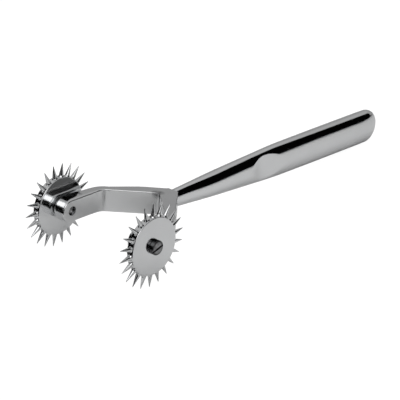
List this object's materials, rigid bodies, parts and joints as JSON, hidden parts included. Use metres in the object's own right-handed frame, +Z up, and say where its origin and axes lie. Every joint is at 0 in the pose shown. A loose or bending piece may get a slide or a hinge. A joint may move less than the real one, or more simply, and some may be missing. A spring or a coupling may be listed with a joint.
{
  "type": "neurological pinwheel",
  "caption": "Steel reflex-testing pinwheel with a forged flat handle, a bent two-arm fork and a freely spinning spiked wheel on the outer side of each arm.",
  "frame": {"origin": "middle of the footprint, on the table that the spikes and the handle's tail rest on", "axes": "+Z up, +X from the wheels to the tail of the handle, +Y from the left wheel to the right wheel as the holder sees them"},
  "size_m": [0.1316, 0.042, 0.0249],
  "materials": {
    "polished_steel": "mirror-polished stainless steel",
    "satin_steel": "satin stainless steel",
    "screw_steel": "bright turned steel"
  },
  "bodies": {
    "instrument": {"handle": "polished_steel", "fork": "polished_steel", "right_spacer_washer": "satin_steel", "left_spacer_washer": "satin_steel", "right_pivot_screw": "screw_steel", "left_pivot_screw": "screw_steel"},
    "right_wheel": {"right_spiked_wheel": "satin_steel"},
    "left_wheel": {"left_spiked_wheel": "satin_steel"}
  },
  "joints": [
    {"name": "right_wheel_spin", "type": "hinge", "parent": "instrument", "child": "right_wheel", "pos_m": [-0.05332, 0.0183, 0.01247], "axis": [0, 1, 0], "continuous": true},
    {"name": "left_wheel_spin", "type": "hinge", "parent": "instrument", "child": "left_wheel", "pos_m": [-0.05332, -0.0183, 0.01247], "axis": [0, 1, 0], "continuous": true}
  ]
}
